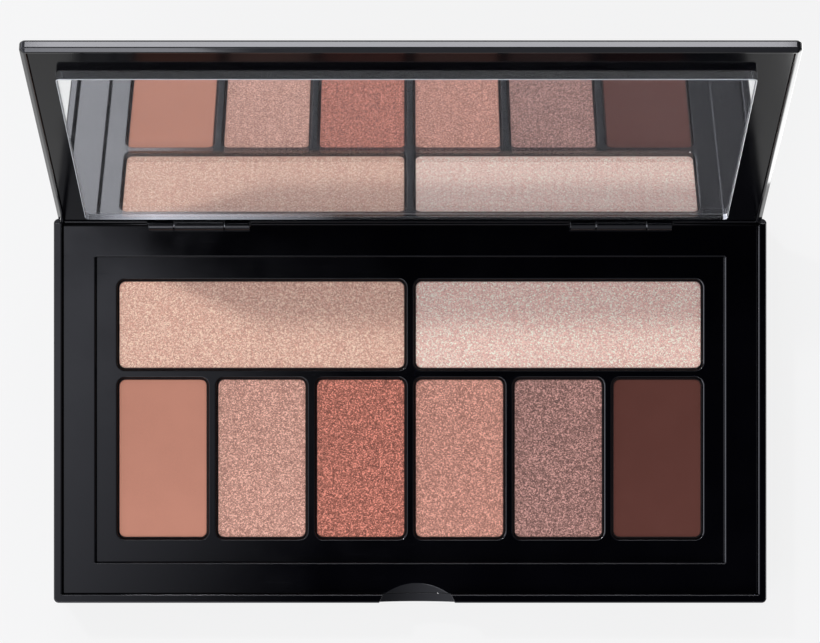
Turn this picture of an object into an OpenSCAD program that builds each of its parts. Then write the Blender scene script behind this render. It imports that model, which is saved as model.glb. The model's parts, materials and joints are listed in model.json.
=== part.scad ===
// Slim hinged eyeshadow palette: two large and six small pressed powders under a mirrored lid.
// Units are millimetres. +X is right, +Y is the hinge side, +Z is up.
// The origin is the centre of the base's underside. The lid is drawn open.

/* [Case] */
// Width of the base
case_w = 115; // [95:1:150]
// Depth of the base, front to hinge
case_d = 62; // [54:1:90]
// Height of the base, from the table to the rim
case_h = 9; // [8.6:0.1:14]
// Corner radius of the base in plan
case_corner_r = 0.8; // [0.5:0.1:1.2]
// Thickness of the base's floor
floor_t = 1.2; // [0.8:0.1:1.6]
// Width of the rim along the two sides
rim_side = 1.35; // [1.1:0.05:2]
// Width of the rim along the front
rim_front = 1.4; // [1.1:0.05:2]
// Width of the rim along the hinge side
rim_rear = 1.1; // [1:0.05:1.4]
// Chamfer that breaks the edges of the base and of the wells
edge_break = 0.18; // [0.1:0.02:0.25]

/* [Deck frame] */
// Step from the rim down to the deck
deck_drop = 1.6; // [1.5:0.05:1.9]
// Thickness of the deck, which is the step from the deck down to the pan tray
deck_t = 1.4; // [1.3:0.05:1.6]
// Width of the deck along the two sides
deck_side = 5.25; // [4.6:0.05:7]
// Width of the deck along the front
deck_front = 5; // [4.8:0.05:7]
// Width of the deck along the hinge side
deck_rear = 5.1; // [4.6:0.05:7]
// Thickness of the skirt that the deck stands on
skirt_t = 1.2; // [0.8:0.1:1.5]

/* [Pan tray] */
// How far the tray reaches under the deck
tray_lap = 1.6; // [1:0.1:2]
// Thickness of the tray's top plate
tray_plate_t = 1.2; // [0.8:0.1:1.4]
// Thickness of the tray's outer wall
tray_wall_t = 1; // [0.8:0.1:1.4]
// Thickness of the floor of a well
well_floor_t = 0.8; // [0.6:0.1:1]
// Tray surface between the wells and the deck, at the two sides
margin_side = 3.4; // [2:0.1:5]
// Tray surface between the wells and the deck, at the front
margin_front = 3.7; // [2:0.1:5]
// Tray surface between the wells and the deck, at the hinge side
margin_rear = 3.6; // [2:0.1:5]
// Width of the bars between wells
divider_t = 1.28; // [1:0.02:2]
// Depth, front to back, of a large well
large_well_d = 14.65; // [11:0.05:18]
// Number of large wells in the rear row
large_count = 2; // [2:1:2]
// Number of small wells in the front row
small_count = 6; // [6:1:6]
// Corner radius of a well
well_r = 1.3; // [1:0.05:2]

/* [Pans and powder] */
// Gap between a pan and its well
pan_gap = 0.08; // [0.05:0.01:0.12]
// Wall thickness of a metal pan
pan_wall_t = 0.2; // [0.15:0.01:0.25]
// Bottom thickness of a metal pan
pan_floor_t = 0.25; // [0.2:0.01:0.3]
// Thickness of the adhesive pad under a pan
pad_t = 0.15; // [0.1:0.01:0.2]
// How far an adhesive pad stays inside its pan's edge
pad_inset = 1; // [0.8:0.1:2]
// Thickness of the pressed powder
powder_t = 1.75; // [1.5:0.05:1.9]
// How far the powder's surface lies below the tray's surface
powder_drop = 0.65; // [0.5:0.05:0.8]
// How far a pan's wall ends below the powder's surface
pan_wall_drop = 0.3; // [0.2:0.05:0.5]

/* [Thumb scoop] */
// Radius of the scoop's upright side wall
scoop_r = 6.45; // [6:0.05:8]
// How far the axis of that wall lies in front of the front face
scoop_out = 2.1; // [1.5:0.1:2.5]
// How far the dished floor of the scoop reaches into the deck, from the front face
scoop_depth = 3.05; // [2.6:0.05:3.4]
// Radius of the dished floor
scoop_dish_r = 16; // [12:0.5:24]
// Fall of the dished floor towards the front
scoop_fall = 30; // [20:0.5:36]
// Offset of the scoop from the middle of the front
scoop_x = 1.1; // [-3:0.1:3]

/* [Lid] */
// How far the lid's sides stay inside the base's sides
lid_inset_side = 0.85; // [0.8:0.05:1.5]
// How far the lid's free edge stays inside the base's front
lid_inset_front = 0.9; // [0.8:0.1:1.5]
// Thickness of the lid at its edge
lid_t = 1.9; // [1.8:0.05:2.6]
// Thickness of the lid shell behind the liner
lid_plate_t = 0.9; // [0.8:0.05:0.95]
// Corner radius of the lid in plan
lid_corner_r = 0.9; // [0.8:0.05:1.2]
// Width of the lip around the liner
lip_w = 1.05; // [1.05:0.05:1.3]
// Step from the lip's crest down to the liner
lip_h = 0.25; // [0.2:0.05:0.3]
// Width of the bevel that runs outward from the lip's crest
lip_bevel_w = 0.65; // [0.4:0.05:0.7]
// Depth of the bevel at the lid's edge
lip_bevel_h = 0.5; // [0.3:0.05:0.6]
// Chamfer around the outside of the lid
lid_edge_break = 0.35; // [0.2:0.05:0.5]
// Gap between the closed lid and the rim
lid_gap = 0.1; // [0.06:0.01:0.15]
// Gap between the liner's edge and the lip
liner_gap = 0.04; // [0.02:0.01:0.06]
// How far the lid stands open, from closed
open_angle = 113; // [0:1:119]

/* [Mirror] */
// Width of the mirror
mirror_w = 102.6; // [80:0.1:103.5]
// Height of the mirror, along the lid
mirror_d = 48.8; // [40:0.1:50]
// Thickness of the mirror's glass
mirror_t = 1.5; // [1.2:0.05:1.55]
// Liner surface between the mirror and the hinge edge of the lid
mirror_from_hinge = 4.6; // [4:0.1:6]
// Offset of the mirror from the middle of the lid
mirror_x = -0.6; // [-1:0.1:1]
// Thickness of the adhesive film behind the mirror
film_t = 0.15; // [0.1:0.01:0.2]
// How far the adhesive film stays inside the mirror's edge
film_inset = 1.5; // [1:0.1:3]

/* [Hinge] */
// Distance of each hinge from the middle of the case
hinge_x = 34; // [26:1:38]
// Outer radius of a knuckle
knuckle_r = 1; // [0.95:0.01:1.05]
// Length of the lid's knuckle
lid_knuckle_l = 8; // [6:0.5:12]
// Length of each of the base's knuckles
base_knuckle_l = 4; // [3:0.5:6]
// Gap between neighbouring knuckles
knuckle_gap = 0.15; // [0.1:0.01:0.25]
// Clearance around a knuckle in the notch that it turns in
notch_gap = 0.15; // [0.12:0.01:0.2]
// Radius of the hinge pins
pin_r = 0.5; // [0.4:0.01:0.5]
// Running clearance around a pin in the lid's knuckle
pin_play = 0.04; // [0.02:0.01:0.06]
// Opening angle at which the lid meets the base's rear chamfer
stop_angle = 120; // [116:1:125]

/* [Magnets] */
// Diameter of a magnet
magnet_d = 3.5; // [3:0.1:3.6]
// Thickness of a magnet in the base
base_magnet_t = 1; // [0.8:0.05:1]
// Thickness of a magnet in the lid
lid_magnet_t = 0.5; // [0.4:0.05:0.5]
// Distance of each magnet from the middle of the case
magnet_x = 40; // [20:1:43]
// Liner left between a magnet and the lip at the lid's free edge
magnet_wall = 0.4; // [0.3:0.05:0.5]

/* [Underside label] */
// Width of the blank label
label_w = 64; // [30:1:80]
// Depth of the blank label
label_d = 18; // [10:1:18]
// Thickness of the label
label_t = 0.1; // [0.08:0.01:0.15]
// Depth of the shallow pocket that the label lies in
label_pocket_t = 0.15; // [0.15:0.01:0.3]
// Margin around the label in its pocket
label_gap = 0.4; // [0.2:0.1:1]
// Distance of the label's centre from the middle of the underside
label_y = 16; // [14:1:18]

/* [Hidden] */
$fn = 64;
cut = 0.5;                       // how far a cutter runs past the face it opens
fit_gap = 0.05;                  // side gap between the parts that drop into the base
black = [0.06, 0.06, 0.07];
inner_black = [0.08, 0.08, 0.09];

// Heights in the base
deck_z = case_h - deck_drop;
tray_z = deck_z - deck_t;
powder_z = tray_z - powder_drop;
pan_z = powder_z - powder_t - pan_floor_t;
well_z = pan_z - pad_t;

// The cavity inside the rim
cavity_w = case_w - 2*rim_side;
cavity_front = -case_d/2 + rim_front;
cavity_rear = case_d/2 - rim_rear;

// The window in the deck, which is also the visible tray
window_w = cavity_w - 2*deck_side;
window_front = cavity_front + deck_front;
window_rear = cavity_rear - deck_rear;

// Wells: both rows fill the window inside its margins
wells_w = window_w - 2*margin_side;
large_well_w = (wells_w - (large_count - 1)*divider_t)/large_count;
small_well_w = (wells_w - (small_count - 1)*divider_t)/small_count;
large_well_y = window_rear - margin_rear - large_well_d/2;
small_well_rear = large_well_y - large_well_d/2 - divider_t;
small_well_d = small_well_rear - window_front - margin_front;
small_well_y = small_well_rear - small_well_d/2;

// Lid, in its closed place
lid_w = case_w - 2*lid_inset_side;
lid_z = case_h + lid_gap;
lid_front = -case_d/2 + lid_inset_front;
liner_z = lid_z + lip_h;
liner_t = lid_t - lip_h - lid_plate_t;
axis_y = case_d/2 - knuckle_r;
axis_z = lid_z;
mirror_y = axis_y - mirror_from_hinge - mirror_d/2;
magnet_y = lid_front + lip_w + liner_gap + magnet_wall + magnet_d/2;

// ---------- Shared shapes ----------

// Upright block with rounded corners, from z = 0 to h, centred in plan
module rounded_block(w, d, h, r) {
    union() {
        translate([-w/2 + r, -d/2, 0]) cube([w - 2*r, d, h]);
        translate([-w/2, -d/2 + r, 0]) cube([w, d - 2*r, h]);
        for (x = [-1, 1], y = [-1, 1])
            translate([x*(w/2 - r), y*(d/2 - r), 0]) cylinder(r = r, h = h);
    }
}

// Frustum with rounded corners, w by d at the bottom and wider by grow on every side at the top
module flared_block(w, d, h, r, grow) {
    run_x = w/2 - r;
    run_y = d/2 - r;
    union() {
        for (x = [-1, 1], y = [-1, 1])
            translate([x*run_x, y*run_y, 0]) cylinder(r1 = r, r2 = r + grow, h = h);
        translate([-run_x, 0, 0]) rotate([90, 0, 90]) linear_extrude(2*run_x)
            polygon([[-d/2, 0], [d/2, 0], [d/2 + grow, h], [-d/2 - grow, h]]);
        translate([0, run_y, 0]) rotate([90, 0, 0]) linear_extrude(2*run_y)
            polygon([[-w/2, 0], [w/2, 0], [w/2 + grow, h], [-w/2 - grow, h]]);
    }
}

// Rounded block whose top and bottom edges are chamfered
module chamfered_block(w, d, h, r, c) {
    union() {
        flared_block(w - 2*c, d - 2*c, c, r - c, c);
        translate([0, 0, c]) rounded_block(w, d, h - 2*c, r);
        translate([0, 0, h]) mirror([0, 0, 1]) flared_block(w - 2*c, d - 2*c, c, r - c, c);
    }
}

// Sharp-cornered recess, open at the top, whose mouth is chamfered
module recess(x0, y0, x1, y1, z0, z1, c) {
    union() {
        translate([x0, y0, z0]) cube([x1 - x0, y1 - y0, z1 - z0 + cut]);
        translate([x0, 0, z1]) rotate([90, 0, 90]) linear_extrude(x1 - x0)
            polygon([[y0, -c], [y1, -c], [y1 + c + cut, cut], [y0 - c - cut, cut]]);
        translate([0, y1, z1]) rotate([90, 0, 0]) linear_extrude(y1 - y0)
            polygon([[x0, -c], [x1, -c], [x1 + c + cut, cut], [x0 - c - cut, cut]]);
    }
}

// Rod along X, centred on x, lying on the hinge axis
module axis_rod(x, r, l) {
    translate([x - l/2, axis_y, axis_z]) rotate([0, 90, 0]) cylinder(r = r, h = l);
}

// Centres of the wells, as [x, y]
function large_at(i) = [(i - (large_count - 1)/2)*(large_well_w + divider_t), large_well_y];
function small_at(i) = [(i - (small_count - 1)/2)*(small_well_w + divider_t), small_well_y];

// The thumb scoop, shared by the base shell and the deck frame: an upright wall over a dished floor
module scoop_cutter() {
    intersection() {
        translate([scoop_x, -case_d/2 - scoop_out, 0]) cylinder(r = scoop_r, h = 2*case_h, $fn = 128);
        translate([scoop_x, -case_d/2 + scoop_depth, deck_z]) rotate([scoop_fall, 0, 0])
            translate([0, 2*case_h, scoop_dish_r]) rotate([90, 0, 0])
                cylinder(r = scoop_dish_r, h = 4*case_h, $fn = 128);
    }
}

// ---------- Base ----------

// Centres of the two base knuckles of the hinge at x
function base_knuckle_at(x) = [for (s = [-1, 1])
    x + s*(lid_knuckle_l/2 + knuckle_gap + base_knuckle_l/2)];

// Wedge that chamfers the rear top edge, which the opened lid comes to rest on
module rear_chamfer_cutter() {
    fall = tan(stop_angle - 90);
    start = axis_y + lid_gap/fall;
    back = case_d/2 + cut;
    translate([-case_w/2 - cut, 0, 0]) rotate([90, 0, 90]) linear_extrude(case_w + 2*cut)
        polygon([[start - cut/fall, case_h + cut], [start, case_h],
            [back, case_h - (back - start)*fall], [back, case_h + cut]]);
}

module base_shell() {
    color(black) difference() {
        union() {
            difference() {
                chamfered_block(case_w, case_d, case_h, case_corner_r, edge_break);
                recess(-cavity_w/2, cavity_front, cavity_w/2, cavity_rear, floor_t, case_h, edge_break);
                rear_chamfer_cutter();
                for (x = [-hinge_x, hinge_x])
                    axis_rod(x, knuckle_r + notch_gap, lid_knuckle_l + 2*knuckle_gap);
            }
            for (x = [-hinge_x, hinge_x], k = base_knuckle_at(x)) axis_rod(k, knuckle_r, base_knuckle_l);
        }
        for (x = [-hinge_x, hinge_x], k = base_knuckle_at(x)) axis_rod(k, pin_r, base_knuckle_l + cut);
        scoop_cutter();
        translate([-label_w/2 - label_gap, label_y - label_d/2 - label_gap, -cut])
            cube([label_w + 2*label_gap, label_d + 2*label_gap, cut + label_pocket_t]);
    }
}

// Box from the front and rear edges of the cavity, shrunk by the given distance
module cavity_box(inset, z0, z1) {
    translate([-cavity_w/2 + inset, cavity_front + inset, z0])
        cube([cavity_w - 2*inset, cavity_rear - cavity_front - 2*inset, z1 - z0]);
}

module deck_frame() {
    block_w = 2*scoop_r + 2*skirt_t;
    block_d = deck_front - tray_lap - 2*fit_gap;
    color(black) difference() {
        union() {
            difference() {
                cavity_box(fit_gap, floor_t, deck_z);
                cavity_box(fit_gap + skirt_t, floor_t - cut, tray_z);
            }
            translate([scoop_x - block_w/2, cavity_front + fit_gap, floor_t])
                cube([block_w, block_d, deck_z - floor_t]);
        }
        recess(-window_w/2, window_front, window_w/2, window_rear, tray_z - cut, deck_z, edge_break);
        for (x = [-magnet_x, magnet_x])
            translate([x, magnet_y, tray_z - cut]) cylinder(d = magnet_d, h = base_magnet_t + cut);
        scoop_cutter();
    }
}

// One well: its straight pocket and its chamfered mouth
module well_cutter(at, w, d) {
    translate([at[0], at[1], well_z]) rounded_block(w, d, tray_z - well_z + cut, well_r);
    translate([at[0], at[1], tray_z - edge_break])
        flared_block(w, d, edge_break + cut, well_r, edge_break + cut);
}

module pan_tray() {
    outer_w = window_w + 2*tray_lap;
    outer_front = window_front - tray_lap;
    outer_rear = window_rear + tray_lap;
    hollow_z = tray_z - tray_plate_t;
    wells_front = window_front + margin_front - divider_t;
    wells_rear = window_rear - margin_rear + divider_t;
    side_hollow = margin_side + tray_lap - tray_wall_t - divider_t;
    color(inner_black) difference() {
        translate([-outer_w/2, outer_front, floor_t])
            cube([outer_w, outer_rear - outer_front, tray_z - floor_t]);
        for (i = [0:large_count - 1]) well_cutter(large_at(i), large_well_w, large_well_d);
        for (i = [0:small_count - 1]) well_cutter(small_at(i), small_well_w, small_well_d);
        // space under the wells
        translate([-outer_w/2 + tray_wall_t, outer_front + tray_wall_t, floor_t - cut])
            cube([outer_w - 2*tray_wall_t, outer_rear - outer_front - 2*tray_wall_t,
                well_z - well_floor_t - floor_t + cut]);
        // hollows under the four margins
        for (s = [-1, 1])
            translate([s*(outer_w/2 - tray_wall_t - side_hollow/2) - side_hollow/2,
                    outer_front + tray_wall_t, floor_t - cut])
                cube([side_hollow, outer_rear - outer_front - 2*tray_wall_t, hollow_z - floor_t + cut]);
        translate([-outer_w/2 + tray_wall_t, outer_front + tray_wall_t, floor_t - cut])
            cube([outer_w - 2*tray_wall_t, wells_front - outer_front - tray_wall_t,
                hollow_z - floor_t + cut]);
        translate([-outer_w/2 + tray_wall_t, wells_rear, floor_t - cut])
            cube([outer_w - 2*tray_wall_t, outer_rear - tray_wall_t - wells_rear,
                hollow_z - floor_t + cut]);
    }
}

// Metal pan: an open box that fits its well
module pan(at, w, d) {
    pan_w = w - 2*pan_gap;
    pan_d = d - 2*pan_gap;
    pan_r = well_r - pan_gap;
    color("silver") translate([at[0], at[1], pan_z]) difference() {
        rounded_block(pan_w, pan_d, pan_floor_t + powder_t - pan_wall_drop, pan_r);
        translate([0, 0, pan_floor_t])
            rounded_block(pan_w - 2*pan_wall_t, pan_d - 2*pan_wall_t, powder_t + cut, pan_r - pan_wall_t);
    }
}

// Pressed powder: a block that fills its pan
module powder(at, w, d, tint) {
    inset = pan_gap + pan_wall_t;
    color(tint) translate([at[0], at[1], pan_z + pan_floor_t])
        rounded_block(w - 2*inset, d - 2*inset, powder_t, well_r - inset);
}

module large_pan(i) pan(large_at(i), large_well_w, large_well_d);
module small_pan(i) pan(small_at(i), small_well_w, small_well_d);
module large_powder(i, tint) powder(large_at(i), large_well_w, large_well_d, tint);
module small_powder(i, tint) powder(small_at(i), small_well_w, small_well_d, tint);

module pan_pad(at, w, d) {
    inset = pan_gap + pad_inset;
    translate([at[0], at[1], well_z + pad_t/2]) cube([w - 2*inset, d - 2*inset, pad_t], center = true);
}

module pan_adhesive() {
    color("ivory") {
        for (i = [0:large_count - 1]) pan_pad(large_at(i), large_well_w, large_well_d);
        for (i = [0:small_count - 1]) pan_pad(small_at(i), small_well_w, small_well_d);
    }
}

module base_magnets() {
    color("gray") for (x = [-magnet_x, magnet_x])
        translate([x, magnet_y, tray_z]) cylinder(d = magnet_d, h = base_magnet_t);
}

module hinge_pins() {
    pin_l = lid_knuckle_l + 2*base_knuckle_l + 2*knuckle_gap;
    color("silver") for (x = [-hinge_x, hinge_x]) axis_rod(x, pin_r, pin_l);
}

module underside_label() {
    color("white") translate([-label_w/2, label_y - label_d/2, label_pocket_t - label_t])
        cube([label_w, label_d, label_t]);
}

// ---------- Lid ----------

// Turns a part of the lid from its closed place to its open place
module opened() {
    translate([0, axis_y, axis_z]) rotate([-open_angle, 0, 0]) translate([0, -axis_y, -axis_z]) children();
}

// Room in the lid for the base's knuckles
module base_knuckle_room() {
    for (x = [-hinge_x, hinge_x], s = [-1, 1])
        axis_rod(x + s*(lid_knuckle_l + base_knuckle_l + 2*knuckle_gap)/2,
            knuckle_r + notch_gap, base_knuckle_l + 2*knuckle_gap);
}

// The lid's outer block in its closed place, with the lip's bevel below and a chamfer on top
module lid_block() {
    lid_d = axis_y - lid_front;
    translate([0, (axis_y + lid_front)/2, lid_z]) union() {
        flared_block(lid_w - 2*lip_bevel_w, lid_d - 2*lip_bevel_w, lip_bevel_h,
            lid_corner_r - lip_bevel_w, lip_bevel_w);
        translate([0, 0, lip_bevel_h])
            rounded_block(lid_w, lid_d, lid_t - lip_bevel_h - lid_edge_break, lid_corner_r);
        translate([0, 0, lid_t]) mirror([0, 0, 1])
            flared_block(lid_w - 2*lid_edge_break, lid_d - 2*lid_edge_break, lid_edge_break,
                lid_corner_r - lid_edge_break, lid_edge_break);
    }
}

// Hollow for the liner, inside the lip
module lid_hollow() {
    translate([-lid_w/2 + lip_w, lid_front + lip_w, lid_z - cut])
        cube([lid_w - 2*lip_w, axis_y - lid_front - 2*lip_w, cut + lip_h + liner_t]);
}

module lid_shell() {
    color(black) opened() difference() {
        union() {
            difference() {
                lid_block();
                lid_hollow();
                base_knuckle_room();
            }
            for (x = [-hinge_x, hinge_x]) axis_rod(x, knuckle_r, lid_knuckle_l);
        }
        for (x = [-hinge_x, hinge_x]) axis_rod(x, pin_r + pin_play, lid_knuckle_l + cut);
    }
}

module lid_liner() {
    inset = lip_w + liner_gap;
    color(inner_black) opened() difference() {
        translate([-lid_w/2 + inset, lid_front + inset, liner_z])
            cube([lid_w - 2*inset, axis_y - lid_front - 2*inset, liner_t]);
        translate([mirror_x - mirror_w/2 + film_inset, mirror_y - mirror_d/2 + film_inset, liner_z - cut])
            cube([mirror_w - 2*film_inset, mirror_d - 2*film_inset, film_t + cut]);
        for (x = [-magnet_x, magnet_x])
            translate([x, magnet_y, liner_z + liner_t - lid_magnet_t])
                cylinder(d = magnet_d, h = lid_magnet_t + cut);
        base_knuckle_room();
        for (x = [-hinge_x, hinge_x]) axis_rod(x, knuckle_r + liner_gap, lid_knuckle_l + 2*liner_gap);
    }
}

module mirror_glass() {
    color([0.8, 0.85, 0.88]) opened()
        translate([mirror_x - mirror_w/2, mirror_y - mirror_d/2, liner_z - mirror_t])
            cube([mirror_w, mirror_d, mirror_t]);
}

module mirror_adhesive() {
    color("ivory") opened()
        translate([mirror_x - mirror_w/2 + film_inset, mirror_y - mirror_d/2 + film_inset, liner_z])
            cube([mirror_w - 2*film_inset, mirror_d - 2*film_inset, film_t]);
}

module lid_magnets() {
    color("gray") opened() for (x = [-magnet_x, magnet_x])
        translate([x, magnet_y, liner_z + liner_t - lid_magnet_t]) cylinder(d = magnet_d, h = lid_magnet_t);
}

// ---------- Parts ----------

base_shell();
deck_frame();
pan_tray();
large_pan(0);  // pan_large_left
large_pan(1);  // pan_large_right
small_pan(0);  // pan_small_1
small_pan(1);  // pan_small_2
small_pan(2);  // pan_small_3
small_pan(3);  // pan_small_4
small_pan(4);  // pan_small_5
small_pan(5);  // pan_small_6
large_powder(0, [0.87, 0.70, 0.63]);  // powder_large_left
large_powder(1, [0.92, 0.77, 0.73]);  // powder_large_right
small_powder(0, [0.74, 0.52, 0.45]);  // powder_small_1
small_powder(1, [0.79, 0.59, 0.54]);  // powder_small_2
small_powder(2, [0.69, 0.43, 0.38]);  // powder_small_3
small_powder(3, [0.75, 0.54, 0.48]);  // powder_small_4
small_powder(4, [0.60, 0.46, 0.43]);  // powder_small_5
small_powder(5, [0.35, 0.22, 0.20]);  // powder_small_6
pan_adhesive();
base_magnets();
hinge_pins();
underside_label();
lid_shell();
lid_liner();
mirror_glass();
mirror_adhesive();
lid_magnets();
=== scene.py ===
"""Looks of the slim eyeshadow palette: finishes, powders, mirror, studio light and camera.

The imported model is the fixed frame. Its plain solids are dressed in finishes here, and the pieces
that a plain solid can't show, such as the pressed powders and the mirror, are made again as
surfaces in the same places. Lengths are in metres. +X is right, +Y is the hinge side, +Z is up.
"""

import json
import logging
import math
from collections.abc import Iterable
from dataclasses import dataclass
from enum import Enum, IntEnum

import bmesh
import bpy
import numpy as np
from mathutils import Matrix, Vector


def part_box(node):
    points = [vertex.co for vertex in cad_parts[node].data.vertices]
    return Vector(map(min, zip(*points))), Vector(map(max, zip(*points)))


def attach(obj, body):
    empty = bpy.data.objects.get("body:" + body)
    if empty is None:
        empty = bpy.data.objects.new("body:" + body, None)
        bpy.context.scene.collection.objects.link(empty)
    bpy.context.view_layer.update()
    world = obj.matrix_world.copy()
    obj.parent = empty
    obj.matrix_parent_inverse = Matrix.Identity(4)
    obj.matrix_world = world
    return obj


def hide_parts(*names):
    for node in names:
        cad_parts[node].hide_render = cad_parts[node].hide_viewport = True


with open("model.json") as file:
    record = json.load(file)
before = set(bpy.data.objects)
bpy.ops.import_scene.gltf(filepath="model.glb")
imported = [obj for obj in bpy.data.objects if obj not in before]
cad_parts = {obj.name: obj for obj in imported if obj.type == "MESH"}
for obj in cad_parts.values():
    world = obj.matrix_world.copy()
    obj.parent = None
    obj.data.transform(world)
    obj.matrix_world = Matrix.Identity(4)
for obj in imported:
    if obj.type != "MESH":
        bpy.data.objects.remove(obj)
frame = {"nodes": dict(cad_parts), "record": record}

LOG = logging.getLogger("palette")
MM = 0.001
VIEW_TRANSFORM = "Standard"
NOISE_LOW, NOISE_HIGH = 0.3, 0.7  # where nearly all of a noise pattern's values lie
BASE_BODY = "base"
LID_BODY = "lid"
LID_JOINT = "lid_hinge"


# ---------- Node graphs ----------


class Graph:
    """A material's node tree with a Principled shader, built one node at a time."""

    def __init__(self, name: str) -> None:
        """Makes an empty material of that name with its shader and output."""
        self.material = bpy.data.materials.new(name)
        self.material.use_nodes = True
        self.tree = self.material.node_tree
        self.tree.nodes.clear()
        output = self.tree.nodes.new("ShaderNodeOutputMaterial")
        self.shader = self.tree.nodes.new("ShaderNodeBsdfPrincipled")
        self.tree.links.new(self.shader.outputs["BSDF"], output.inputs["Surface"])

    def add(self, kind: str, settings: dict | None = None, **inputs: object) -> bpy.types.Node:
        """Adds a node.

        Args:
            kind: The node's type name.
            settings: Node properties to set, such as its operation.
            inputs: Socket values or output sockets to link, with spaces written as underscores.

        Returns:
            The new node.
        """
        node = self.tree.nodes.new(kind)
        for key, value in (settings or {}).items():
            setattr(node, key, value)
        for key, value in inputs.items():
            self.put(node.inputs[key.replace("_", " ")], value)
        return node

    def put(self, socket: bpy.types.NodeSocket, value: object) -> None:
        """Links an output socket to the socket, or sets the socket's own value."""
        if isinstance(value, bpy.types.NodeSocket):
            self.tree.links.new(value, socket)
        else:
            socket.default_value = value

    def math(self, operation: str, *values: object) -> bpy.types.NodeSocket:
        """Returns the result of a Math node that combines the values."""
        node = self.add("ShaderNodeMath", {"operation": operation})
        for socket, value in zip(node.inputs, values):
            self.put(socket, value)
        return node.outputs["Value"]

    def ramp(self, source: bpy.types.NodeSocket, low: float, high: float, out_low: float = 0.0,
             out_high: float = 1.0, smooth: bool = True) -> bpy.types.NodeSocket:
        """Returns source mapped from low..high to out_low..out_high and held at both ends."""
        node = self.add("ShaderNodeMapRange", {
            "interpolation_type": "SMOOTHSTEP" if smooth else "LINEAR"}, Value=source)
        for socket, value in zip(("From Min", "From Max", "To Min", "To Max"),
                                 (low, high, out_low, out_high)):
            node.inputs[socket].default_value = value
        return node.outputs["Result"]

    def spread(self, pattern: bpy.types.NodeSocket, out_low: float = 0.0,
               out_high: float = 1.0) -> bpy.types.NodeSocket:
        """Returns a noise pattern with its usual values spread over out_low..out_high."""
        return self.ramp(pattern, NOISE_LOW, NOISE_HIGH, out_low, out_high)

    def mix_colour(self, factor: object, first: object, second: object) -> bpy.types.NodeSocket:
        """Returns the colour that goes from first to second with the factor."""
        node = self.add("ShaderNodeMix", {"data_type": "RGBA"})
        self.put(node.inputs["Factor"], factor)
        self.put(node.inputs[6], first)
        self.put(node.inputs[7], second)
        return node.outputs[2]

    def place(self) -> bpy.types.NodeSocket:
        """Returns the object coordinates, in metres."""
        return self.add("ShaderNodeTexCoord").outputs["Object"]

    def noise(self, place: bpy.types.NodeSocket, size: float,
              detail: float = 2.0) -> bpy.types.NodeSocket:
        """Returns fractal noise whose features are about size metres across."""
        node = self.add("ShaderNodeTexNoise", Vector=place, Scale=1.0/size, Detail=detail)
        return node.outputs["Fac"]

    def drawn_out(self, stretch: float) -> bpy.types.NodeSocket:
        """Returns the object coordinates squeezed along X, so that a pattern runs along X."""
        node = self.add("ShaderNodeMapping", Vector=self.place(), Scale=(stretch, 1.0, 1.0))
        return node.outputs["Vector"]

    def bump(self, height: bpy.types.NodeSocket, depth: float, strength: float = 1.0) -> None:
        """Roughens the shader's normal with the height pattern, depth metres deep."""
        node = self.add("ShaderNodeBump", Height=height, Strength=strength, Distance=depth)
        self.put(self.shader.inputs["Normal"], node.outputs["Normal"])

    def set(self, **values: object) -> None:
        """Sets or links the shader's sockets, with spaces written as underscores."""
        for key, value in values.items():
            self.put(self.shader.inputs[key.replace("_", " ")], value)


def linear(red: float, green: float, blue: float) -> tuple[float, float, float, float]:
    """Returns a display colour, 0 to 255, as the linear colour that shaders use.

    Each channel c in 0..1 becomes ((c + 0.055)/1.055) to the power 2.4, or c/12.92 when it is
    small.
    """
    levels = np.array([red, green, blue])/255.0
    curve = np.where(levels <= 0.04045, levels/12.92, ((levels + 0.055)/1.055)**2.4)
    return (*[float(c) for c in curve], 1.0)


# ---------- Finishes ----------


@dataclass(frozen=True)
class BlackPlastic:
    """Polished black moulding with faint flow haze and fine handling marks."""

    name: str
    roughness: float = 0.07
    ior: float = 1.49
    haze: float = 0.04
    haze_size: float = 9*MM
    grain_size: float = 0.22*MM
    grain_depth: float = 0.0006*MM
    grain_strength: float = 0.6
    mark_size: float = 0.35*MM
    mark_stretch: float = 0.06
    mark_roughness: float = 0.04
    deep_tone: tuple[float, ...] = (0.0006, 0.0006, 0.0012, 1)
    pale_tone: tuple[float, ...] = (0.0014, 0.0014, 0.0022, 1)

    def build(self) -> bpy.types.Material:
        """Returns the material."""
        g = Graph(self.name)
        place = g.place()
        cloud = g.noise(place, self.haze_size, 3.0)
        marks = g.ramp(g.noise(g.drawn_out(self.mark_stretch), self.mark_size, 4.0), 0.62, 0.74)
        gloss = g.spread(cloud, self.roughness - self.haze/2,
                       self.roughness + self.haze/2)
        g.set(Base_Color=g.mix_colour(cloud, self.deep_tone, self.pale_tone), IOR=self.ior,
              Roughness=g.math("ADD", gloss, g.math("MULTIPLY", marks, self.mark_roughness)))
        g.bump(g.noise(place, self.grain_size), self.grain_depth, self.grain_strength)
        return g.material


class Sparkle(Enum):
    """How a pressed powder catches the light."""

    MATTE = "matte"
    FINE = "fine shimmer"
    MEDIUM = "medium shimmer"
    COARSE = "coarse shimmer"


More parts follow.
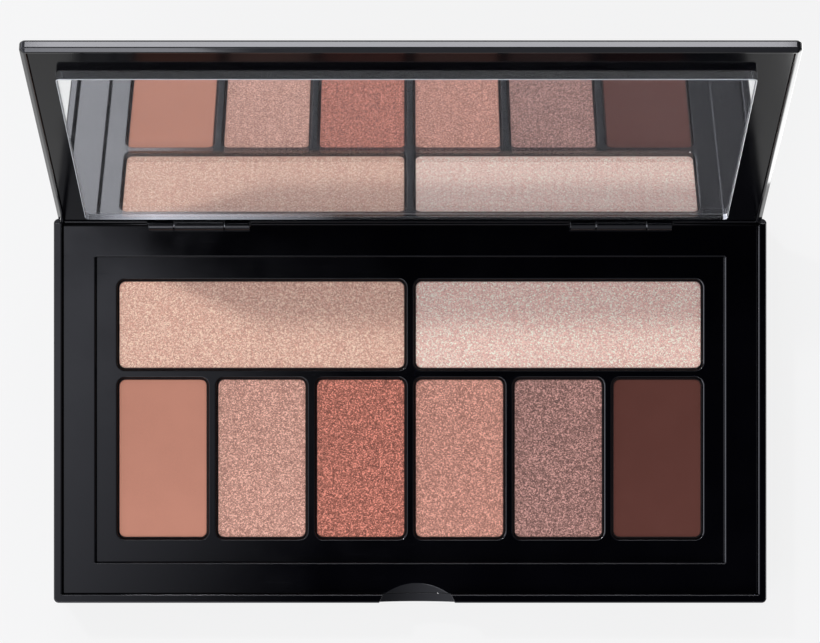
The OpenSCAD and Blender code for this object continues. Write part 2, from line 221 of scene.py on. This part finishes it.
@dataclass(frozen=True)
class PressedPowder:
    """Pressed powder: pigment grain, pearl flakes, painted shade in hollows, painted glints."""

    name: str
    colour: tuple[float, float, float]
    sparkle: Sparkle
    flake_size: float = 0.17*MM
    grain_size: float = 0.12*MM
    patch_size: float = 5*MM
    pearl: float = 0.05
    sheen: float = 0.2
    bare_share: float = 0.35

    def contrast(self) -> tuple[float, float]:
        """Returns the painted shade's depth in hollows and the painted glint's gain on flakes."""
        return {Sparkle.MATTE: (0.06, 0.04), Sparkle.FINE: (0.34, 0.66),
                Sparkle.MEDIUM: (0.48, 0.90), Sparkle.COARSE: (0.62, 1.26)}[self.sparkle]

    def build(self) -> bpy.types.Material:
        """Returns the material."""
        g = Graph(self.name)
        place = g.place()
        dark, light = self.contrast()
        base = np.array(linear(*self.colour))[:3]
        # Painted shade: colour darkened where the grain noise, which also drives the bump, is low.
        painted_hollow_shade = (*(base*(1 - dark)), 1)
        body = (*base, 1)
        # Painted glint: flake colour lightened and whitened; matte powder uses it only for faint
        # random pale patches.
        pale_patch_and_painted_glint = (*np.minimum(base*(1 + light) + self.pearl*light, 1.0), 1)
        grain = g.noise(place, self.grain_size, 3.0)
        patches = g.noise(place, self.patch_size, 2.0)
        tone = g.mix_colour(g.ramp(grain, 0.32, 0.62), painted_hollow_shade, body)
        if self.sparkle is Sparkle.MATTE:
            # Random pale patches mixed part way toward the lightened colour, over the painted hollow
            # shade.
            g.set(Base_Color=g.mix_colour(g.ramp(patches, 0.35, 0.7, 0.0, 0.5), tone, pale_patch_and_painted_glint),
                  Roughness=g.spread(grain, 0.78, 0.92), Sheen_Weight=self.sheen,
                  Specular_IOR_Level=0.25)
            g.bump(grain, 0.010*MM, 0.35)
            return g.material
        flakes = g.add("ShaderNodeTexVoronoi", Vector=place, Scale=1.0/self.flake_size)
        chance = g.add("ShaderNodeSeparateColor", Color=flakes.outputs["Color"]).outputs["Red"]
        # Painted glint on flake cells above the bare share, painted shade on cells below it, which
        # the bump sets lower.
        painted_glint_mask = g.ramp(chance, self.bare_share, 1.0, smooth=False)
        painted_shade_mask = g.ramp(chance, 0.0, self.bare_share, smooth=False)
        between = g.mix_colour(painted_shade_mask, painted_hollow_shade, tone)
        g.set(Base_Color=g.mix_colour(g.math("POWER", painted_glint_mask, 1.6), between, pale_patch_and_painted_glint),
              Roughness=g.ramp(painted_glint_mask, 0.0, 1.0, 0.6, 0.36), Specular_IOR_Level=0.4,
              Sheen_Weight=self.sheen)
        tilt = g.math("ADD", g.math("MULTIPLY", chance, 0.8), grain)
        g.bump(tilt, 0.02*MM, 0.4)
        return g.material


@dataclass(frozen=True)
class BrushedMetal:
    """Thin sheet or wire metal with drawn streaks."""

    name: str
    colour: tuple[float, float, float]
    roughness: float = 0.32
    streak_size: float = 0.08*MM
    streak_stretch: float = 0.08
    streak_depth: float = 0.001*MM

    def build(self) -> bpy.types.Material:
        """Returns the material."""
        g = Graph(self.name)
        streaks = g.noise(g.drawn_out(self.streak_stretch), self.streak_size, 3.0)
        base = np.array(linear(*self.colour))[:3]
        g.set(Base_Color=g.mix_colour(streaks, (*(base*0.86), 1), (*base, 1)), Metallic=1.0,
              Roughness=g.spread(streaks, self.roughness - 0.06, self.roughness + 0.08))
        g.bump(streaks, self.streak_depth, 0.4)
        return g.material


@dataclass(frozen=True)
class Film:
    """Soft or fibrous sheet: adhesive film and label stock."""

    name: str
    colour: tuple[float, float, float]
    roughness: float = 0.6
    fibre_size: float = 0.3*MM
    fibre_depth: float = 0.004*MM

    def build(self) -> bpy.types.Material:
        """Returns the material."""
        g = Graph(self.name)
        fibre = g.noise(g.place(), self.fibre_size, 4.0)
        base = np.array(linear(*self.colour))[:3]
        g.set(Base_Color=g.mix_colour(g.spread(fibre), (*(base*0.93), 1), (*base, 1)),
              Roughness=g.spread(fibre, self.roughness - 0.08, self.roughness + 0.08))
        g.bump(fibre, self.fibre_depth, 0.4)
        return g.material


@dataclass(frozen=True)
class ClearGlass:
    """The mirror's clear glass, with a trace of tint and hardly visible polish marks."""

    name: str = "mirror_clear_glass"
    haze_size: float = 6*MM
    ior: float = 1.52

    def build(self) -> bpy.types.Material:
        """Returns the material."""
        g = Graph(self.name)
        haze = g.noise(g.place(), self.haze_size, 3.0)
        g.set(Base_Color=g.mix_colour(haze, (0.975, 0.985, 0.98, 1), (0.99, 0.995, 0.992, 1)),
              Roughness=g.spread(haze, 0.0, 0.012), Transmission_Weight=1.0,
              IOR=self.ior)
        return g.material


@dataclass(frozen=True)
class GroundEdge:
    """The narrow ground bevels around the glass, which scatter light."""

    name: str = "mirror_ground_edge"
    grind_size: float = 0.3*MM
    grind_depth: float = 0.004*MM
    clearness: float = 0.35
    ior: float = 1.52

    def build(self) -> bpy.types.Material:
        """Returns the material."""
        g = Graph(self.name)
        grind = g.noise(g.place(), self.grind_size, 3.0)
        g.set(Base_Color=g.mix_colour(grind, (0.62, 0.64, 0.65, 1), (0.86, 0.88, 0.88, 1)),
              Roughness=g.spread(grind, 0.3, 0.5), Transmission_Weight=self.clearness,
              IOR=self.ior)
        g.bump(grind, self.grind_depth, 0.5)
        return g.material


@dataclass(frozen=True)
class Silvering:
    """The silver coat on the mirror's back."""

    name: str = "mirror_silvering"
    haze: float = 0.06
    patch_size: float = 12*MM

    def build(self) -> bpy.types.Material:
        """Returns the material."""
        g = Graph(self.name)
        coat = g.noise(g.place(), self.patch_size)
        g.set(Base_Color=g.mix_colour(coat, (0.93, 0.935, 0.94, 1), (0.955, 0.96, 0.96, 1)),
              Metallic=1.0 - self.haze, Roughness=g.spread(coat, 0.0, 0.008))
        return g.material


# ---------- Surfaces ----------


def rounded_ring(width: float, depth: float, radius: float, steps: int = 10) -> np.ndarray:
    """Returns a rounded rectangle's outline around the origin, anticlockwise.

    Each corner is a quarter circle: centre plus radius times (cos a, sin a), with a running over a
    right angle in equal steps. The straight sides are the links between the quarter circles, and
    each is cut into equal lengths so that the outline has even points.

    Args:
        width: Size along X.
        depth: Size along Y.
        radius: Corner radius.
        steps: Steps in each quarter circle.

    Returns:
        An array of points, one row each.
    """
    turn = np.linspace(0, np.pi/2, steps + 1)
    centres = np.array([[1, 1], [-1, 1], [-1, -1], [1, -1]])*[width/2 - radius, depth/2 - radius]
    corners = [c + radius*np.column_stack([np.cos(turn + k*np.pi/2), np.sin(turn + k*np.pi/2)])
               for k, c in enumerate(centres)]
    share = np.linspace(0, 1, steps + 1)[1:-1, None]
    sides = [a[-1]*(1 - share) + b[0]*share for a, b in zip(corners, corners[1:] + corners[:1])]
    return np.vstack([part for pair in zip(corners, sides) for part in pair])


def stacked_surface(rings: np.ndarray) -> tuple[np.ndarray, list[tuple[int, ...]]]:
    """Closes a stack of rings into one surface, with a pole at the middle of each end.

    Point (i, j) of the grid is point j of ring i. Neighbouring rings are joined by four-sided
    faces, and the first and last ring by a fan of triangles to the mean of their points.

    Args:
        rings: An array of shape (rings, points, 3), from the lowest to the highest ring.

    Returns:
        The vertices and the faces, which point outwards.
    """
    count, points, _ = rings.shape
    verts = np.vstack([rings.reshape(-1, 3), rings[0].mean(axis=0), rings[-1].mean(axis=0)])
    row, col = np.meshgrid(np.arange(count - 1), np.arange(points), indexing="ij")
    after = (col + 1) % points
    quads = np.stack([row*points + col, row*points + after, (row + 1)*points + after,
                      (row + 1)*points + col], axis=-1).reshape(-1, 4)
    here = np.arange(points)
    there = (here + 1) % points
    top = (count - 1)*points
    low_fan = np.stack([there, here, np.full(points, count*points)], axis=-1)
    high_fan = np.stack([top + here, top + there, np.full(points, count*points + 1)], axis=-1)
    faces = [tuple(int(v) for v in f) for part in (quads, low_fan, high_fan) for f in part]
    return verts, faces


def new_piece(name: str, verts: np.ndarray, faces: list[tuple[int, ...]], body: str, slot: str,
              *materials: bpy.types.Material) -> bpy.types.Object:
    """Makes an object from a surface and ties it to a body.

    Args:
        name: The piece's name.
        verts: Its points, in metres, in the frame.
        faces: Its faces.
        body: The body that it rides on.
        slot: The record's material slot of the piece; not used.
        materials: Its materials.

    Returns:
        The object, which sits at the origin.
    """
    mesh = bpy.data.meshes.new(name)
    mesh.from_pydata(verts.tolist(), [], faces)
    for material in materials:
        mesh.materials.append(material)
    mesh.polygons.foreach_set("use_smooth", np.ones(len(mesh.polygons), dtype=bool))
    mesh.update()
    piece = bpy.data.objects.new(name, mesh)
    bpy.context.scene.collection.objects.link(piece)
    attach(piece, body)
    LOG.info("%s: %d faces", name, len(faces))
    return piece


def crease(mesh: bpy.types.Mesh, degrees: float) -> None:
    """Marks edges sharp where two faces meet at more than the angle, so that flats stay flat."""
    work = bmesh.new()
    work.from_mesh(mesh)
    limit = math.radians(degrees)
    for edge in work.edges:
        edge.smooth = len(edge.link_faces) == 2 and edge.calc_face_angle(0.0) < limit
    work.to_mesh(mesh)
    work.free()


# ---------- Sub-assemblies ----------


@dataclass
class Moulding:
    """A moulded part of the case: the solid as it is, with its edges finely rounded."""

    node: str
    body: str
    finish: bpy.types.Material
    slot: str
    edge_radius: float = 0.07*MM
    merge_distance: float = 0.0005*MM
    flat_angle: float = 1.0
    sharp_angle: float = 25.0
    edge_segments: int = 2

    def build(self) -> bpy.types.Object:
        """Copies the solid's mesh, merges it, clears its flats' inner lines and rounds its edges."""
        mesh = frame["nodes"][self.node].data.copy()
        mesh.name = self.node + "_moulding"
        work = bmesh.new()
        work.from_mesh(mesh)
        bmesh.ops.remove_doubles(work, verts=work.verts, dist=self.merge_distance)
        bmesh.ops.dissolve_limit(work, angle_limit=math.radians(self.flat_angle), verts=work.verts,
                                 edges=work.edges, use_dissolve_boundaries=False)
        for face in work.faces:
            face.smooth = True
        work.to_mesh(mesh)
        work.free()
        mesh.materials.clear()
        mesh.materials.append(self.finish)
        crease(mesh, self.sharp_angle)
        piece = bpy.data.objects.new(self.node + "_moulding", mesh)
        bpy.context.scene.collection.objects.link(piece)
        bevel = piece.modifiers.new("edge_radius", "BEVEL")
        bevel.width = self.edge_radius
        bevel.segments = self.edge_segments
        bevel.limit_method = "ANGLE"
        bevel.angle_limit = math.radians(self.sharp_angle)
        bevel.use_clamp_overlap = False
        bevel.harden_normals = True
        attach(piece, self.body)
        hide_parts(self.node)
        LOG.info("%s: moulding with rounded edges", self.node)
        return piece


@dataclass
class PowderCake:
    """One pressed powder: a low pillow with rounded shoulders that fills its pan."""

    node: str
    finish: PressedPowder
    corner_radius: float = 1.02*MM
    shoulder: float = 0.18*MM
    crown: float = 0.05*MM
    ripple: float = 0.008*MM
    ripple_length: tuple[float, float] = (1.9*MM, 2.3*MM)
    ripple_start: tuple[float, float] = (0.7, 0.3)
    shoulder_steps: int = 7
    field_steps: int = 26
    smallest_ring: float = 0.02
    sharp_angle: float = 50.0

    def rings(self, low: np.ndarray, high: np.ndarray) -> np.ndarray:
        """Works out the cake's outlines from its underside to its middle.

        The wall is straight up to the shoulder. On the shoulder, a quarter circle of radius s, the
        outline moves in by s(1 - cos a) and up by s sin a. Inside it, each ring is the
        shoulder's inner outline scaled by t, and its height is the top plus crown times (1 - t^2)
        minus crown, so that the middle is the highest place, plus a ripple of crossed sines.

        Args:
            low: The solid's lowest corner.
            high: The solid's highest corner.

        Returns:
            An array of shape (rings, points, 3).
        """
        width, depth = (high - low)[:2]
        centre = (high + low)[:2]/2
        angle = np.linspace(0, np.pi/2, self.shoulder_steps)
        inset = self.shoulder*(1 - np.cos(angle))
        rise = self.shoulder*np.sin(angle)
        top = high[2] - self.crown
        stack = [rounded_ring(width, depth, self.corner_radius) + centre]
        levels = [low[2]]
        for i, r in zip(inset, rise):
            stack.append(rounded_ring(width - 2*i, depth - 2*i, self.corner_radius - i) + centre)
            levels.append(top - self.shoulder + r)
        edge = stack[-1] - centre
        share = np.linspace(1, self.smallest_ring, self.field_steps)[1:]
        field = centre + share[:, None, None]*edge[None]
        outlines = np.concatenate([np.array(stack), field])
        heights = np.concatenate([np.array(levels), top + self.crown*(1 - share**2)])
        grid = np.empty((*outlines.shape[:2], 3))
        grid[..., :2] = outlines
        grid[..., 2] = heights[:, None]
        wave = np.sin(outlines/self.ripple_length + self.ripple_start).prod(axis=-1)
        inner = len(stack)
        grid[inner:, :, 2] += self.ripple*(wave[inner:] - 1)*(1 - share[:, None]**4)
        return grid

    def build(self) -> bpy.types.Object:
        """Makes the cake in the place of its solid."""
        low, high = (np.array(corner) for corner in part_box(self.node))
        verts, faces = stacked_surface(self.rings(low, high))
        piece = new_piece(self.node + "_cake", verts, faces, BASE_BODY, self.node_slot(),
                          self.finish.build())
        crease(piece.data, self.sharp_angle)
        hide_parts(self.node)
        return piece

    def node_slot(self) -> str:
        """Returns the record's slot of the powder's solid."""
        parts = frame["record"]["subparts"]
        return next(part["material_slot"] for part in parts if part["node"] == self.node)


@dataclass
class LidPlace:
    """Turns places in the lid between closed, where the lid lies along the axes, and open."""

    angle: float
    pivot: np.ndarray

    @classmethod
    def from_frame(cls) -> "LidPlace":
        """Reads the hinge from the frame. The lowest joint value is the closed lid."""
        joint = next(j for j in frame["record"]["behaviour"]["joints"] if j["name"] == LID_JOINT)
        return cls(math.radians(-joint["range_deg"][0]), np.array(joint["pos_m"]))

    def turn(self, points: np.ndarray, angle: float) -> np.ndarray:
        """Turns points about the hinge's X axis: y' = y cos a - z sin a, z' = y sin a + z cos a."""
        y, z = (points[..., k] - self.pivot[k] for k in (1, 2))
        turned = points.copy()
        turned[..., 1] = y*math.cos(angle) - z*math.sin(angle) + self.pivot[1]
        turned[..., 2] = y*math.sin(angle) + z*math.cos(angle) + self.pivot[2]
        return turned

    def open(self, points: np.ndarray) -> np.ndarray:
        """Returns points of the closed lid in their open places."""
        return self.turn(points, -self.angle)

    def closed_box(self, node: str) -> tuple[np.ndarray, np.ndarray]:
        """Returns the corners of the node's box with the lid closed."""
        mesh = frame["nodes"][node].data
        points = np.empty(len(mesh.vertices)*3)
        mesh.vertices.foreach_get("co", points)
        closed = self.turn(points.reshape(-1, 3), self.angle)
        return closed.min(axis=0), closed.max(axis=0)


class MirrorFace(IntEnum):
    """The plate's materials, in the order of its slots."""

    CLEAR = 0
    GROUND = 1
    SILVER = 2


@dataclass
class MirrorPlate:
    """The mirror: clear glass with rounded corners and ground bevels, silvered on its back."""

    lid: LidPlace
    node: str = "mirror_glass"
    corner_radius: float = 0.7*MM
    bevel: float = 0.10*MM
    film_clearance: float = 0.01*MM
    sharp_angle: float = 25.0

    def build(self) -> bpy.types.Object:
        """Makes the plate in its open place.

        With the lid closed, the front faces down. The stack of outlines goes from the front to the
        back: the front outline is drawn in by the bevel's width, then the straight edge, then the
        back outline drawn in by half of it. Only the back's fan of faces is silvered.
        """
        low, high = self.lid.closed_box(self.node)
        high[2] -= self.film_clearance
        width, depth = (high - low)[:2]
        centre = (high + low)[:2]/2
        back = self.bevel/2
        insets = np.array([self.bevel, 0.0, 0.0, back])
        levels = np.array([low[2], low[2] + self.bevel, high[2] - back, high[2]])
        outlines = np.array([rounded_ring(width - 2*i, depth - 2*i, self.corner_radius - i)
                             for i in insets])
        rings = np.empty((*outlines.shape[:2], 3))
        rings[..., :2] = outlines + centre
        rings[..., 2] = levels[:, None]
        verts, faces = stacked_surface(rings)
        piece = new_piece("mirror_plate", self.lid.open(verts), faces, LID_BODY, "mirror",
                          ClearGlass().build(), GroundEdge().build(), Silvering().build())
        bands = [MirrorFace.GROUND, MirrorFace.CLEAR, MirrorFace.GROUND, MirrorFace.CLEAR,
                 MirrorFace.SILVER]
        index = np.repeat(bands, rings.shape[1]).astype(np.int32)
        piece.data.polygons.foreach_set("material_index", index)
        crease(piece.data, self.sharp_angle)
        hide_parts(self.node)
        return piece


@dataclass
class Case:
    """The black mouldings of the base and the lid."""

    def build(self) -> None:
        """Dresses every moulding in its plastic."""
        polished = BlackPlastic("polished_black").build()
        satin = BlackPlastic("satin_black", roughness=0.09, grain_depth=0.0010*MM).build()
        dark = BlackPlastic("lid_liner_black", roughness=0.12, ior=1.24).build()
        Moulding("base_shell", BASE_BODY, polished, "case_plastic").build()
        Moulding("deck_frame", BASE_BODY, polished, "case_plastic").build()
        Moulding("pan_tray", BASE_BODY, satin, "inner_plastic").build()
        Moulding("lid_shell", LID_BODY, polished, "case_plastic", edge_radius=0.12*MM).build()
        Moulding("lid_liner", LID_BODY, dark, "inner_plastic").build()


@dataclass
class Powders:
    """The eight shades in the order that they lie in the tray."""

    def build(self) -> None:
        """Makes each powder."""
        shades = {
            "powder_large_left": PressedPowder("peach_shimmer", (234, 177, 153), Sparkle.FINE),
            "powder_large_right": PressedPowder("pale_pink_shimmer", (255, 202, 183), Sparkle.FINE),
            "powder_small_1": PressedPowder("clay_matte", (193, 132, 109), Sparkle.MATTE),
            "powder_small_2": PressedPowder("rose_shimmer", (200, 144, 124), Sparkle.MEDIUM),
            "powder_small_3": PressedPowder("copper_shimmer", (173, 100, 79), Sparkle.COARSE),
            "powder_small_4": PressedPowder("apricot_shimmer", (192, 132, 112), Sparkle.MEDIUM),
            "powder_small_5": PressedPowder("taupe_shimmer", (151, 108, 96), Sparkle.COARSE),
            "powder_small_6": PressedPowder("brown_matte", (90, 48, 38), Sparkle.MATTE),
        }
        for node, finish in shades.items():
            PowderCake(node, finish).build()


@dataclass
class Hardware:
    """The small hidden or half-hidden pieces, which keep their solids."""

    def build(self) -> None:
        """Gives each solid its finish."""
        tinplate = BrushedMetal("pan_lacquered_tinplate", (52, 48, 48), 0.42).build()
        steel = BrushedMetal("pin_steel", (188, 188, 190), 0.28).build()
        nickel = BrushedMetal("magnet_nickel", (196, 196, 200), 0.22).build()
        tape = Film("tape", (232, 228, 210)).build()
        paper = Film("label_stock", (226, 226, 224), 0.55).build()
        finishes = {"hinge_pins": steel, "base_magnets": nickel, "lid_magnets": nickel,
                    "pan_adhesive": tape, "mirror_adhesive": tape, "underside_label": paper}
        for node in frame["nodes"]:
            if node.startswith("pan_large") or node.startswith("pan_small"):
                finishes[node] = tinplate
        for node, finish in finishes.items():
            mesh = frame["nodes"][node].data
            mesh.materials.clear()
            mesh.materials.append(finish)
            LOG.info("%s: %s", node, finish.name)


# ---------- Studio ----------


@dataclass
class Softbox:
    """A rectangular studio light aimed at a point."""

    name: str
    place: tuple[float, float, float]
    size: tuple[float, float]
    watts: float
    aim: tuple[float, float, float] = (0.0, 0.0, 0.0)
    tint: tuple[float, float, float] = (1.0, 1.0, 1.0)

    def build(self) -> bpy.types.Object:
        """Makes the light."""
        data = bpy.data.lights.new(self.name, "AREA")
        data.shape = "RECTANGLE"
        data.size, data.size_y = self.size
        data.energy = self.watts
        data.color = self.tint
        light = bpy.data.objects.new(self.name, data)
        light.location = self.place
        ray = Vector(self.aim) - Vector(self.place)
        light.rotation_euler = ray.to_track_quat("-Z", "Y").to_euler()
        light.visible_camera = False
        bpy.context.scene.collection.objects.link(light)
        return light


class SkyGraph:
    """The world's node tree, in which light depends on the direction only."""

    def __init__(self, tree: bpy.types.NodeTree) -> None:
        """Clears the tree and adds the direction."""
        self.tree = tree
        tree.nodes.clear()
        self.direction = tree.nodes.new("ShaderNodeTexCoord").outputs["Generated"]

    def ramp(self, axis: tuple[float, float, float], low: float, high: float, out_low: float,
             out_high: float, smooth: bool = True) -> bpy.types.NodeSocket:
        """Maps the direction's share along an axis from low..high to out_low..out_high.

        Args:
            axis: The vector that the direction is multiplied with, as a dot product.
            low: Where the ramp starts.
            high: Where it ends.
            out_low: The value up to its start.
            out_high: The value from its end on.
            smooth: Whether both ends are eased.

        Returns:
            The value's socket.
        """
        dot = self.tree.nodes.new("ShaderNodeVectorMath")
        dot.operation = "DOT_PRODUCT"
        dot.inputs[1].default_value = axis
        self.tree.links.new(self.direction, dot.inputs[0])
        node = self.tree.nodes.new("ShaderNodeMapRange")
        node.interpolation_type = "SMOOTHSTEP" if smooth else "LINEAR"
        self.tree.links.new(dot.outputs["Value"], node.inputs["Value"])
        for name, value in zip(("From Min", "From Max", "To Min", "To Max"),
                               (low, high, out_low, out_high)):
            node.inputs[name].default_value = value
        return node.outputs["Result"]

    def multiply(self, first: bpy.types.NodeSocket,
                 second: bpy.types.NodeSocket) -> bpy.types.NodeSocket:
        """Returns the product of two values."""
        node = self.tree.nodes.new("ShaderNodeMath")
        node.operation = "MULTIPLY"
        self.tree.links.new(first, node.inputs[0])
        self.tree.links.new(second, node.inputs[1])
        return node.outputs["Value"]

    def mix(self, factor: bpy.types.NodeSocket, first: bpy.types.NodeSocket,
            second: bpy.types.NodeSocket) -> bpy.types.NodeSocket:
        """Returns the value that goes from first to second with the factor."""
        node = self.tree.nodes.new("ShaderNodeMix")
        for socket, value in zip((node.inputs["Factor"], node.inputs[2], node.inputs[3]),
                                 (factor, first, second)):
            self.tree.links.new(value, socket)
        return node.outputs[0]

    def finish(self, strength: bpy.types.NodeSocket,
               tint: tuple[float, float, float, float]) -> None:
        """Sends the strength and the tint to the world's background."""
        output = self.tree.nodes.new("ShaderNodeOutputWorld")
        background = self.tree.nodes.new("ShaderNodeBackground")
        background.inputs["Color"].default_value = tint
        self.tree.links.new(strength, background.inputs["Strength"])
        self.tree.links.new(background.outputs["Background"], output.inputs["Surface"])


@dataclass
class Studio:
    """Pale floor, soft surroundings and the lights."""

    floor_size: float = 3.0
    floor_gap: float = 0.05*MM
    floor_glow: float = 0.84
    floor_colour: float = 0.07
    cove_start: float = 0.95
    cove_radius: float = 0.5
    wall_height: float = 2.5
    tint: tuple[float, float, float, float] = (0.93, 0.95, 1.08, 1)

    def pale_surface(self) -> bpy.types.Material:
        """Returns the floor's and the wall's material, slightly luminous like a light table."""
        g = Graph("pale_studio")
        c = self.floor_colour
        g.set(Base_Color=(c, c, c, 1), Roughness=0.9, Specular_IOR_Level=0.0,
              Emission_Color=(1, 1, 1, 1), Emission_Strength=self.floor_glow)
        return g.material

    def floor(self, pale: bpy.types.Material) -> None:
        """Lays the pale floor under the palette."""
        half = self.floor_size/2
        axis = np.linspace(-half, half, 3)
        grid_x, grid_y = np.meshgrid(axis, axis, indexing="ij")
        level = np.full_like(grid_x, -self.floor_gap)
        verts = np.stack([grid_x, grid_y, level], axis=-1).reshape(-1, 3)
        faces = [(a, a + 3, a + 4, a + 1) for a in (0, 1, 3, 4)]
        mesh = bpy.data.meshes.new("floor")
        mesh.from_pydata(verts.tolist(), [], faces)
        mesh.materials.append(pale)
        floor = bpy.data.objects.new("floor", mesh)
        bpy.context.scene.collection.objects.link(floor)

    def wall(self, pale: bpy.types.Material, steps: int = 16, turns: int = 96) -> None:
        """Stands a round wall with a curved foot on the floor, which only the camera sees.

        The foot is a quarter circle: it moves out by radius times sin a and up by radius times
        (1 - cos a). The profile is turned about Z, and light and reflections pass through it.
        """
        angle = np.linspace(0, np.pi/2, steps)
        out = self.cove_start + self.cove_radius*np.append(np.sin(angle), 1.0)
        up = np.append(self.cove_radius*(1 - np.cos(angle)), self.wall_height) - self.floor_gap
        turn = np.linspace(0, 2*np.pi, turns, endpoint=False)
        verts = np.stack([np.outer(out, np.cos(turn)), np.outer(out, np.sin(turn)),
                          np.repeat(up[:, None], turns, axis=1)], axis=-1).reshape(-1, 3)
        row, col = np.meshgrid(np.arange(steps)*turns, np.arange(turns), indexing="ij")
        after = (col + 1) % turns
        faces = np.stack([row + col, row + after, row + turns + after, row + turns + col], axis=-1)
        mesh = bpy.data.meshes.new("wall")
        mesh.from_pydata(verts.tolist(), [], faces.reshape(-1, 4).tolist())
        mesh.polygons.foreach_set("use_smooth", np.ones(len(mesh.polygons), dtype=bool))
        mesh.materials.append(pale)
        wall = bpy.data.objects.new("wall", mesh)
        wall.visible_diffuse = wall.visible_glossy = wall.visible_transmission = False
        wall.visible_shadow = False
        bpy.context.scene.collection.objects.link(wall)

    def surroundings(self) -> None:
        """Lights the room: bright at the left, dim at the right, with a slanted pool overhead.

        The strength is mixed from three fields of the direction (x, y, z): one for low directions,
        one around and one overhead, which the flat black plastic reflects. The overhead pool is a
        broad ramp along y/2 - x, cut off at the hinge side by a narrow ramp along 2.4 x + 2.7 y.
        """
        world = bpy.data.worlds.new("studio")
        world.use_nodes = True
        bpy.context.scene.world = world
        sky = SkyGraph(world.node_tree)
        around = sky.ramp((1, 0, 0), -0.75, 0.75, 0.98, 0.16)
        low = sky.ramp((1, 0, 0), -0.95, -0.35, 3.4, 0.12)
        pool = sky.ramp((-1, 0.5, 0), 0.002, 0.094, 0.0, 1.12, smooth=False)
        cut = sky.ramp((2.4, 2.7, 0), -0.145, -0.128, 1.0, 0.0)
        overhead = sky.multiply(pool, cut)
        strength = sky.mix(sky.ramp((0, 0, 1), 0.06, 0.30, 0.0, 1.0), low, around)
        strength = sky.mix(sky.ramp((0, 0, 1), 0.955, 0.985, 0.0, 1.0), strength, overhead)
        sky.finish(strength, self.tint)

    def build(self) -> None:
        """Sets up the floor, the wall, the surroundings and the lights."""
        pale = self.pale_surface()
        self.floor(pale)
        self.wall(pale)
        self.surroundings()
        Softbox("key", (-0.519, 0.630, 0.920), (0.07, 0.07), 5.7).build()
        Softbox("front_fill", (-0.47, -0.78, 0.93), (0.8, 0.36), 4.1, aim=(-0.1, 0.0, 0.0),
                tint=(0.95, 0.96, 1.04)).build()
        Softbox("back_panel", (0.0, 0.982, 0.820), (0.56, 0.19), 3.3, aim=(0.0, 0.054, 0.064),
                tint=(0.97, 0.97, 1.03)).build()
        Softbox("right_glow", (0.122, 0.015, 0.002), (0.11, 0.12), 0.15,
                aim=(0.122, 0.015, 1.0)).build()


@dataclass
class Camera:
    """The camera, straight above the palette and a little towards the hinge."""

    place: tuple[float, float, float] = (-0.77*MM, 14.4*MM, 534.3*MM)
    lens: float = 143.0
    sensor_width: float = 36.0
    shift_x: float = 0.0056
    clip_start: float = 0.01

    def build(self) -> None:
        """Makes the camera and gives it to the scene."""
        data = bpy.data.cameras.new("camera")
        data.lens = self.lens
        data.sensor_width = self.sensor_width
        data.shift_x = self.shift_x
        data.clip_start = self.clip_start
        camera = bpy.data.objects.new("camera", data)
        camera.location = self.place
        bpy.context.scene.collection.objects.link(camera)
        bpy.context.scene.camera = camera


def main() -> None:
    """Builds the looks in order."""
    logging.basicConfig(level=logging.INFO, format="%(name)s: %(message)s")
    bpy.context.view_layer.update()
    bpy.context.scene.view_settings.view_transform = VIEW_TRANSFORM
    Case().build()
    Powders().build()
    Hardware().build()
    MirrorPlate(LidPlace.from_frame()).build()
    Studio().build()
    Camera().build()


if __name__ == "__main__":
    main()
